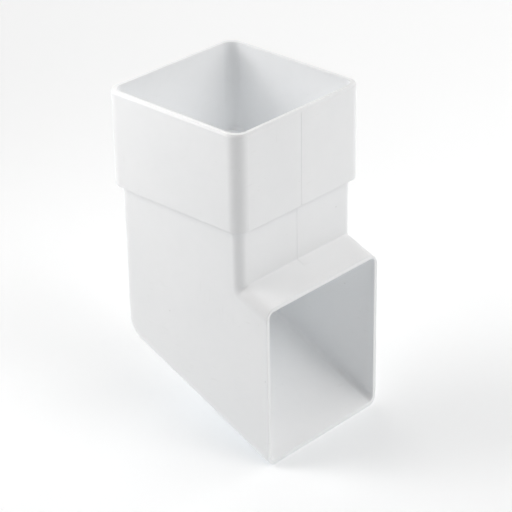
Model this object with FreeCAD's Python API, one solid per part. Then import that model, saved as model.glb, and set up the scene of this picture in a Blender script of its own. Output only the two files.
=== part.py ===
import FreeCAD, Part
import math
import os

# Square downpipe shoe: the discharge elbow at the foot of a 65 mm square
# rainwater downpipe.  One injection moulding in white uPVC.
#
# Frame (mm): +Z is up along the downpipe, the outlet faces -Y, the wall is on
# the +Y side.  The origin is the centre of the internal stop that the cut end
# of the downpipe lands on.  The part is symmetric about the plane X = 0.

# ---------------------------------------------------------------- dimensions
SOCKET_OUT = 70.0        # socket, outside across flats
SOCKET_WALL = 2.0        # socket wall
SOCKET_DEPTH = 38.2      # rim down to the pipe stop
SOCKET_R = 5.5           # socket vertical corners, outside
SOCKET_RI = 4.8          # socket vertical corners, inside
SHOULDER = 2.2           # thickness of the stop shoulder under the socket

BODY_OUT = 64.8          # duct below the socket, outside across flats
BODY_WALL = 1.8          # duct wall
BODY_R = 3.95            # duct corner radius, outside
BODY_RI = 2.4            # duct corner radius, inside

MOUTH_Y = -45.9          # plane of the outlet mouth
MOUTH_BOTTOM = -101.5    # lowest outside edge of the mouth
FLOOR_DEG = 22.5         # fall of the floor towards the mouth
HOOD_Z = -26.15          # hood plane where it meets the front of the duct
HOOD_DEG = 20.5          # fall of the hood towards the mouth
HOOD_WALL = 1.7          # hood wall
HOOD_R = 5.2             # hood side edges, outside radius
HOOD_RI = 2.0            # hood side edges, inside radius

NECK_R = 0.5             # hollow fillet between duct front and hood, outside
HEEL_R = 12.0            # round heel between duct back and floor, outside

RIM_BEVEL_W = 0.5        # bevel of the socket rim, outside edge: width on top
RIM_BEVEL_H = 1.1        # bevel of the socket rim, outside edge: height
RIM_R_OUT = 0.25         # rounding of the two edges of that bevel
RIM_R_IN = 0.3           # rounding of the socket rim, inside edge
MOUTH_R_OUT = 0.2        # rounding of the mouth lip, outside edge
MOUTH_R_IN = 0.3         # rounding of the mouth lip, inside edge
STEP_R = 0.4             # rounding of the socket's lower outside edge
ROOT_R = 0.5             # hollow fillet where the duct leaves the socket
STOP_R = 0.4             # rounding of the inner edge of the stop
FOOT_R = 1.0             # hollow fillet between socket wall and stop

SEAM_W = 0.5             # mould parting line, width
SEAM_H = 0.08            # mould parting line, height
SEAM_SLOPE = 0.07        # mould parting line, sloping sides
SEAM_RUN = 3.2           # how far the parting line runs out on the hood

os.makedirs("parts", exist_ok=True)

V = FreeCAD.Vector
H = BODY_OUT / 2.0
TAN_F = math.tan(math.radians(FLOOR_DEG))
COS_F = math.cos(math.radians(FLOOR_DEG))
TAN_H = math.tan(math.radians(HOOD_DEG))
COS_H = math.cos(math.radians(HOOD_DEG))


def round_corner(a, b, c, r):
    """Tangent points and arc middle that round the corner b of a-b-c."""
    u = (a - b).normalize()
    w = (c - b).normalize()
    half = math.acos(max(-1.0, min(1.0, u.dot(w)))) / 2.0
    t = r / math.tan(half)
    bis = (u + w).normalize()
    mid = b + bis * (r / math.sin(half) - r)
    return b + u * t, mid, b + w * t


def side_face(off, hood_off, y_end, z_top, r_neck, r_heel):
    """Side view of the duct in the plane X = 0, grown outwards by off."""
    yb = H + off
    yf = -(H + off)

    def hood(y):
        return HOOD_Z + TAN_H * (y + H) + hood_off / COS_H

    def floor(y):
        return MOUTH_BOTTOM + TAN_F * (y - MOUTH_Y) - off / COS_F

    p0 = V(0, yb, z_top)
    p1 = V(0, yb, floor(yb))
    p2 = V(0, y_end, floor(y_end))
    p3 = V(0, y_end, hood(y_end))
    p4 = V(0, yf, hood(yf))
    p5 = V(0, yf, z_top)
    h0, hm, h1 = round_corner(p0, p1, p2, r_heel)
    n0, nm, n1 = round_corner(p3, p4, p5, r_neck)
    edges = [
        Part.LineSegment(p0, h0).toShape(),
        Part.Arc(h0, hm, h1).toShape(),
        Part.LineSegment(h1, p2).toShape(),
        Part.LineSegment(p2, p3).toShape(),
        Part.LineSegment(p3, n0).toShape(),
        Part.Arc(n0, nm, n1).toShape(),
        Part.LineSegment(n1, p5).toShape(),
        Part.LineSegment(p5, p0).toShape(),
    ]
    return Part.Face(Part.Wire(edges))


def round_each(body, table):
    """Round edges that each have their own radius: (number, r, r) rows."""
    doc = FreeCAD.newDocument("rounding")
    base = doc.addObject("Part::Feature", "base")
    base.Shape = body
    rounded = doc.addObject("Part::Fillet", "rounded")
    rounded.Base = base
    rounded.Edges = table
    doc.recompute()
    shape = rounded.Shape.copy()
    FreeCAD.closeDocument(doc.Name)
    return shape


def duct(off, hood_off, z_top, r_neck, r_heel, r_edge, r_hood):
    """Side view carried across the width, with its long edges rounded.  The
    rounding opens from r_edge to r_hood round the neck.  It runs past the
    mouth plane, so the roundings end square on that plane."""
    y_end = MOUTH_Y - 12.0
    half = H + off
    face = side_face(off, hood_off, y_end, z_top, r_neck, r_heel)
    face.translate(V(-half, 0, 0))
    body = face.extrude(V(2.0 * half, 0, 0))
    neck, rest = [], []
    for i, e in enumerate(body.Edges):
        b = e.BoundBox
        if b.XLength > 1e-6:
            continue
        if b.YLength < 1e-6 and abs(b.YMin - y_end) < 1e-6:
            continue
        if b.ZLength < 1e-6 and abs(b.ZMin - z_top) < 1e-6:
            continue
        m = e.valueAt(0.5 * (e.FirstParameter + e.LastParameter))
        above_floor = m.z - (MOUTH_BOTTOM + TAN_F * (m.y - MOUTH_Y))
        if hasattr(e.Curve, "Radius") and m.y < 0.0:
            neck.append((i + 1, r_edge, r_hood))
        elif m.y < -(H + off) - 1e-6 and above_floor > 20.0:
            rest.append((i + 1, r_hood, r_hood))
        else:
            rest.append((i + 1, r_edge, r_edge))
    return round_each(body, neck + rest)


def square_bar(side, r, z0, z1):
    bar = Part.makeBox(side, side, z1 - z0, V(-side / 2.0, -side / 2.0, z0))
    upright = [e for e in bar.Edges if e.BoundBox.ZLength > (z1 - z0) - 1e-6]
    return bar.makeFillet(r, upright)


def loop_edges(shape, axis, value, lo, hi):
    """Edges that lie flat in one plane and whose reach from the middle of
    the opening is between lo and hi."""
    out = []
    for e in shape.Edges:
        b = e.BoundBox
        if axis == "z":
            if b.ZLength > 1e-5 or abs(b.ZMin - value) > 1e-5:
                continue
            reach = max(abs(b.XMin), abs(b.XMax), abs(b.YMin), abs(b.YMax))
        else:
            if b.YLength > 1e-5 or abs(b.YMin - value) > 1e-5:
                continue
            zc = 0.5 * (mouth_lo + mouth_hi)
            reach = max(abs(b.XMin), abs(b.XMax),
                        (max(abs(b.ZMin - zc), abs(b.ZMax - zc)) - 0.5 * (mouth_hi - mouth_lo)) + H)
        if lo <= reach <= hi:
            out.append(e)
    return out


# ------------------------------------------------------------ outside, inside
mouth_hi = HOOD_Z + TAN_H * (MOUTH_Y + H)
mouth_lo = MOUTH_BOTTOM

outer = square_bar(SOCKET_OUT, SOCKET_R, -SHOULDER, SOCKET_DEPTH)
rim = outer.makeChamfer(RIM_BEVEL_W, RIM_BEVEL_H, loop_edges(outer, "z", SOCKET_DEPTH, 0.0, 99.0))
if not loop_edges(rim, "z", SOCKET_DEPTH - RIM_BEVEL_H, 0.0, 99.0):
    rim = outer.makeChamfer(RIM_BEVEL_H, RIM_BEVEL_W, loop_edges(outer, "z", SOCKET_DEPTH, 0.0, 99.0))
outer = rim
outer = outer.fuse(duct(0.0, 0.0, -SHOULDER / 2.0, NECK_R, HEEL_R, BODY_R, HOOD_R))

inner = square_bar(SOCKET_OUT - 2.0 * SOCKET_WALL, SOCKET_RI, 0.0, SOCKET_DEPTH + 10.0)
inner = inner.makeFillet(FOOT_R, loop_edges(inner, "z", 0.0, 0.0, 99.0))
inner = inner.fuse(duct(-BODY_WALL, -HOOD_WALL, 1.0, NECK_R + BODY_WALL,
                        HEEL_R - BODY_WALL, BODY_RI, HOOD_RI))

# everything in front of the mouth plane comes off
front = Part.makeBox(200.0, 60.0, 300.0, V(-100.0, MOUTH_Y - 60.0, -200.0))
shoe = outer.cut(front).cut(inner).removeSplitter()

# -------------------------------------------------------------------- edges
SI = SOCKET_OUT / 2.0 - SOCKET_WALL
shoe = shoe.makeFillet(RIM_R_OUT, loop_edges(shoe, "z", SOCKET_DEPTH, SI + 0.5, 99.0)
                       + loop_edges(shoe, "z", SOCKET_DEPTH - RIM_BEVEL_H, SI + 0.5, 99.0))
shoe = shoe.makeFillet(RIM_R_IN, loop_edges(shoe, "z", SOCKET_DEPTH, 0.0, SI + 0.1))
shoe = shoe.makeFillet(STEP_R, loop_edges(shoe, "z", -SHOULDER, H + 1.0, 99.0))
shoe = shoe.makeFillet(ROOT_R, loop_edges(shoe, "z", -SHOULDER, 0.0, H + 0.1))
shoe = shoe.makeFillet(STOP_R, loop_edges(shoe, "z", 0.0, 0.0, H - BODY_WALL + 0.1))
shoe = shoe.makeFillet(MOUTH_R_OUT, loop_edges(shoe, "y", MOUTH_Y, H - 0.3, 99.0))
shoe = shoe.makeFillet(MOUTH_R_IN, loop_edges(shoe, "y", MOUTH_Y, 0.0, H - 0.5))

# ------------------------------------------------- mould parting line, X = 0
sw = SEAM_W / 2.0
skin = side_face(SEAM_H, SEAM_H, MOUTH_Y + MOUTH_R_OUT, -SHOULDER / 2.0,
                 NECK_R - SEAM_H, HEEL_R + SEAM_H)
core = side_face(-BODY_WALL / 2.0, -HOOD_WALL / 2.0, MOUTH_Y - 1.0, 5.0,
                 NECK_R + BODY_WALL / 2.0, HEEL_R - BODY_WALL / 2.0)
skin.translate(V(-sw, 0, 0))
core.translate(V(-5.0, 0, 0))
strip = skin.extrude(V(SEAM_W, 0, 0))
strip = strip.makeChamfer(SEAM_SLOPE, [e for e in strip.Edges if e.BoundBox.XLength < 1e-6])
seam = strip.cut(core.extrude(V(10.0, 0, 0)))
keep = Part.makeBox(2.0, 60.0, 100.0, V(-1.0, -H - SEAM_RUN, HOOD_Z - 12.0))
seam_front = seam.common(keep)
seam_socket = Part.makeBox(SEAM_W, 1.0 + SEAM_H, SOCKET_DEPTH + SHOULDER - RIM_BEVEL_H - STEP_R,
                           V(-sw, -SOCKET_OUT / 2.0 - SEAM_H, -SHOULDER + STEP_R))
seam_socket = seam_socket.makeChamfer(SEAM_SLOPE, [
    e for e in seam_socket.Edges
    if e.BoundBox.ZLength > 10.0 and e.BoundBox.YMax < -SOCKET_OUT / 2.0 - SEAM_H / 2.0])
for piece in seam_front.Solids:
    if piece.BoundBox.YMax < 0.0:
        shoe = shoe.fuse(piece)
shoe = shoe.fuse(seam_socket)
shoe = shoe.removeSplitter()

solid = shoe.Solids[0]
print("solids", len(shoe.Solids), "valid", solid.isValid(),
      "volume cm3 %.2f" % (solid.Volume / 1000.0))
bb = solid.BoundBox
print("box X %.2f..%.2f  Y %.2f..%.2f  Z %.2f..%.2f"
      % (bb.XMin, bb.XMax, bb.YMin, bb.YMax, bb.ZMin, bb.ZMax))
cm = solid.CenterOfMass
print("centre of mass %.2f %.2f %.2f" % (cm.x, cm.y, cm.z))
solid.exportStep("parts/shoe_moulding.step")
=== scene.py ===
import math
import bpy
from mathutils import Matrix, Vector


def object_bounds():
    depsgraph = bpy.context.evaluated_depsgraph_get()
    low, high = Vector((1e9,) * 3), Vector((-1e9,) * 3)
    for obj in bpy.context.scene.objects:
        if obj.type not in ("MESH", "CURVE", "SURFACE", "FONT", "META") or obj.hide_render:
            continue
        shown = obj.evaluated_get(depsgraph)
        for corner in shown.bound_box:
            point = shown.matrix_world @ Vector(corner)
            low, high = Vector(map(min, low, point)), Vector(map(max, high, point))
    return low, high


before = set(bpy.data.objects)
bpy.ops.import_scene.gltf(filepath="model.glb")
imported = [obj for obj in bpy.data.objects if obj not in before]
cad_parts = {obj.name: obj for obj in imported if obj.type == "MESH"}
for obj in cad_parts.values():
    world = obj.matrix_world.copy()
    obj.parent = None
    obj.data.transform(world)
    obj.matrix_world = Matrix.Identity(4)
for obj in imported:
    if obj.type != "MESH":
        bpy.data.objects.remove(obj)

CAD_BOX = [list(map(float, c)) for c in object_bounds()]
LO, HI = Vector(CAD_BOX[0]), Vector(CAD_BOX[1])

scene = bpy.context.scene
scene.view_settings.view_transform = "Standard"
scene.view_settings.look = "None"
# a white cavity needs its later bounces
scene.cycles.max_bounces = 14
scene.cycles.diffuse_bounces = 10

# ------------------------------------------------------------------- camera
cam_data = bpy.data.cameras.new("photo_camera")
cam_data.sensor_fit = "HORIZONTAL"
cam_data.sensor_width = 36.0
cam_data.lens = 140.328
cam_data.clip_start = 0.01
cam_data.clip_end = 50.0
cam = bpy.data.objects.new("photo_camera", cam_data)
scene.collection.objects.link(cam)
ax = Vector((0.68369, -0.72960, -0.01566))
ay = Vector((0.35045, 0.30942, 0.88399))
az = Vector((-0.64012, -0.60986, 0.46724))
cam.matrix_world = Matrix((
    (ax.x, ay.x, az.x, -0.507922),
    (ax.y, ay.y, az.y, -0.494047),
    (ax.z, ay.z, az.z, 0.338104),
    (0.0, 0.0, 0.0, 1.0),
))
scene.camera = cam


# ------------------------------------------------------------ node shorthand
class Nodes:
    def __init__(self, name):
        self.mat = bpy.data.materials.new(name)
        self.mat.use_nodes = True
        self.nt = self.mat.node_tree
        self.nt.nodes.clear()
        out = self.nt.nodes.new("ShaderNodeOutputMaterial")
        self.bsdf = self.nt.nodes.new("ShaderNodeBsdfPrincipled")
        self.nt.links.new(self.bsdf.outputs["BSDF"], out.inputs["Surface"])

    def add(self, kind, **inputs):
        n = self.nt.nodes.new(kind)
        for key, val in inputs.items():
            self.put(n.inputs[key.replace("_", " ")], val)
        return n

    def put(self, socket, val):
        if isinstance(val, bpy.types.NodeSocket):
            self.nt.links.new(val, socket)
        else:
            socket.default_value = val

    def math(self, op, a, b=0.0, c=0.0, clamp=False):
        n = self.nt.nodes.new("ShaderNodeMath")
        n.operation = op
        n.use_clamp = clamp
        for i, v in enumerate((a, b, c)):
            self.put(n.inputs[i], v)
        return n.outputs[0]

    def ramp(self, v, a0, a1, b0=0.0, b1=1.0, smooth=True):
        """v from a0..a1 to b0..b1, held at the ends."""
        n = self.nt.nodes.new("ShaderNodeMapRange")
        n.interpolation_type = "SMOOTHSTEP" if smooth else "LINEAR"
        for i, val in enumerate((v, a0, a1, b0, b1)):
            self.put(n.inputs[i], val)
        return n.outputs[0]

    def scaled(self, vec, xyz, shift=(0.0, 0.0, 0.0)):
        n = self.nt.nodes.new("ShaderNodeVectorMath")
        n.operation = "MULTIPLY_ADD"
        self.put(n.inputs[0], vec)
        n.inputs[1].default_value = xyz
        n.inputs[2].default_value = shift
        return n.outputs[0]

    def noise(self, vec, scale, detail=2.0, rough=0.5):
        n = self.add("ShaderNodeTexNoise", Vector=vec, Scale=scale, Detail=detail, Roughness=rough)
        return n.outputs[0]

    def mix(self, fac, a, b):
        n = self.nt.nodes.new("ShaderNodeMix")
        n.data_type = "RGBA"
        self.put(n.inputs[0], fac)
        self.put(n.inputs[6], a)
        self.put(n.inputs[7], b)
        return n.outputs[2]


# ------------------------------------------------- white uPVC, satin moulded
m = Nodes("white_upvc")
pos = m.add("ShaderNodeTexCoord").outputs["Object"]          # metres, CAD frame
split = m.add("ShaderNodeSeparateXYZ", Vector=pos)
px, py, pz = split.outputs

# the pigment is not quite even: broad clouds and a finer mottle
cloud = m.noise(pos, 24.0, 3.0, 0.55)
mottle = m.noise(pos, 210.0, 4.0, 0.6)
tone = m.math("ADD", m.ramp(cloud, 0.30, 0.70, 0.0, 0.75), m.ramp(mottle, 0.32, 0.68, 0.0, 0.25))
colour = m.mix(tone, (0.8925, 0.907, 0.919, 1.0), (0.9195, 0.931, 0.941, 1.0))

# specks of dark pigment and dust pressed into the skin
cells = m.add("ShaderNodeTexVoronoi", Vector=pos, Scale=88.0)
speck = m.ramp(cells.outputs["Distance"], 0.012, 0.040, 1.0, 0.0)
cells2 = m.add("ShaderNodeTexVoronoi", Vector=m.scaled(pos, (1.0, 1.0, 1.0), (0.31, 0.17, 0.53)), Scale=190.0)
speck2 = m.ramp(cells2.outputs["Distance"], 0.015, 0.050, 0.55, 0.0)
speck = m.math("MAXIMUM", speck, speck2)
colour = m.mix(m.math("MULTIPLY", speck, 0.42), colour, (0.50, 0.50, 0.49, 1.0))

# handling scuffs: short level strokes and short upright strokes, in patches
strokes_h = m.noise(m.scaled(pos, (150.0, 150.0, 1500.0)), 1.0, 2.0, 0.5)
strokes_v = m.noise(m.scaled(pos, (1400.0, 1400.0, 120.0), (3.1, 7.7, 1.3)), 1.0, 2.0, 0.5)
where_h = m.ramp(m.noise(pos, 46.0, 1.0), 0.56, 0.68)
where_v = m.ramp(m.noise(m.scaled(pos, (1.0, 1.0, 1.0), (0.7, 0.2, 0.9)), 40.0, 1.0), 0.58, 0.70)
scuff = m.math("MAXIMUM",
               m.math("MULTIPLY", m.ramp(strokes_h, 0.62, 0.74), where_h),
               m.math("MULTIPLY", m.ramp(strokes_v, 0.62, 0.74), where_v))
colour = m.mix(m.math("MULTIPLY", scuff, 0.16), colour, (0.66, 0.66, 0.65, 1.0))

# painted shade: a thin grey line along the parting line on the front, standing in for the shaded flank of the
# moulded ridge
near_seam = m.ramp(m.math("ABSOLUTE", px), 0.00018, 0.00042, 1.0, 0.0)
on_front = m.ramp(py, -0.0318, -0.0312, 1.0, 0.0)
seam_shade = m.math("MULTIPLY", near_seam, on_front)
seam_shade = m.math("MULTIPLY", seam_shade, m.ramp(pz, -0.0295, -0.0265))
seam_shade = m.math("MULTIPLY", seam_shade, m.ramp(m.noise(pos, 120.0, 2.0), 0.30, 0.62, 0.55, 1.0))
# the painted parting-line shade is mixed into the colour here
colour = m.mix(m.math("MULTIPLY", seam_shade, 0.05), colour, (0.62, 0.63, 0.64, 1.0))
m.put(m.bsdf.inputs["Base Color"], colour)

# satin skin: duller in the clouds and scuffs
sheen = m.noise(m.scaled(pos, (1.0, 1.0, 0.45), (0.4, 0.9, 0.2)), 60.0, 3.0, 0.6)
rough = m.ramp(sheen, 0.30, 0.70, 0.315, 0.405)
rough = m.math("ADD", rough, m.math("MULTIPLY", scuff, 0.14))
rough = m.math("ADD", rough, m.ramp(mottle, 0.30, 0.70, -0.02, 0.02))
m.put(m.bsdf.inputs["Roughness"], rough)
m.bsdf.inputs["IOR"].default_value = 1.53

# moulded surface: long slack waves, fine orange peel, the scuffs' own depth
wave = m.noise(pos, 38.0, 1.0)
peel = m.noise(pos, 820.0, 2.0, 0.55)
height = m.math("MULTIPLY_ADD", wave, 0.020, m.math("MULTIPLY", peel, 0.0022))
height = m.math("ADD", height, m.math("MULTIPLY", scuff, -0.0030))
height = m.math("ADD", height, m.math("MULTIPLY", speck, 0.0060))
bump = m.add("ShaderNodeBump", Strength=1.0, Distance=0.001, Height=height)
m.put(m.bsdf.inputs["Normal"], bump.outputs["Normal"])

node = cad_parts["shoe_moulding"]
node.data.materials.clear()
node.data.materials.append(m.mat)

# -------------------------------------------------------------------- stage
floor_mesh = bpy.data.meshes.new("floor")
z = LO.z
floor_mesh.from_pydata([(-9, -9, z), (9, -9, z), (9, 9, z), (-9, 9, z)], [], [(0, 1, 2, 3)])
floor = bpy.data.objects.new("floor", floor_mesh)
scene.collection.objects.link(floor)
f = Nodes("floor_white")
f.bsdf.inputs["Base Color"].default_value = (0.9615, 0.980, 0.9935, 1.0)
f.bsdf.inputs["Roughness"].default_value = 0.9
f.bsdf.inputs["Specular IOR Level"].default_value = 0.1
# a light table: a little of its white comes from below
f.bsdf.inputs["Emission Color"].default_value = (1.0, 1.0, 1.0, 1.0)
f.bsdf.inputs["Emission Strength"].default_value = 0.08
floor.data.materials.append(f.mat)

world = bpy.data.worlds.new("studio")
scene.world = world
world.use_nodes = True
bg = world.node_tree.nodes["Background"]
bg.inputs["Color"].default_value = (1.0, 1.0, 1.0, 1.0)
bg.inputs["Strength"].default_value = 0.50
world.cycles_visibility.diffuse = False
world.cycles_visibility.glossy = False

MIDDLE = Vector((0.0, -0.005, -0.03))
WHITE = (1.0, 0.9815, 0.967)


def aim(ob, azimuth, elevation, dist):
    """Azimuth 0 stands at -Y and grows towards +X."""
    a, e = math.radians(azimuth), math.radians(elevation)
    ob.location = MIDDLE + dist * Vector((math.sin(a) * math.cos(e), -math.cos(a) * math.cos(e), math.sin(e)))
    ob.rotation_euler = (MIDDLE - ob.location).to_track_quat("-Z", "Y").to_euler()
    ob.visible_camera = False


def soft_sun(name, azimuth, elevation, strength, spread=38.0):
    """A broad even light from far away, as from a white studio wall."""
    data = bpy.data.lights.new(name, "SUN")
    data.angle = math.radians(spread)
    data.energy = strength
    data.color = WHITE
    ob = bpy.data.objects.new(name, data)
    scene.collection.objects.link(ob)
    aim(ob, azimuth, elevation, 2.0)


def softbox(name, azimuth, elevation, dist, size, power):
    data = bpy.data.lights.new(name, "AREA")
    data.shape = "SQUARE"
    data.size = size
    data.energy = power
    data.color = WHITE
    ob = bpy.data.objects.new(name, data)
    scene.collection.objects.link(ob)
    aim(ob, azimuth, elevation, dist)


soft_sun("left_low", 215, 24, 1.003)
soft_sun("front", 0, 38, 0.347)
soft_sun("front_right", 20, 38, 0.751)
soft_sun("ceiling", 0, 60, 0.157)
soft_sun("top", 0, 89.9, 0.292)
softbox("back_box", 150, 40, 1.20, 0.74, 2.623)
softbox("right_box", 90, 30, 1.20, 0.74, 2.361)
softbox("right_front_box", 60, 30, 1.20, 0.74, 1.830)
softbox("right_near", 60, 30, 0.42, 0.26, 0.247)
softbox("left_near", 240, 40, 0.27, 0.14, 0.170)
softbox("left_back_near", 220, 35, 0.27, 0.14, 0.077)
softbox("left_top_near", 245, 60, 0.27, 0.14, 0.035)
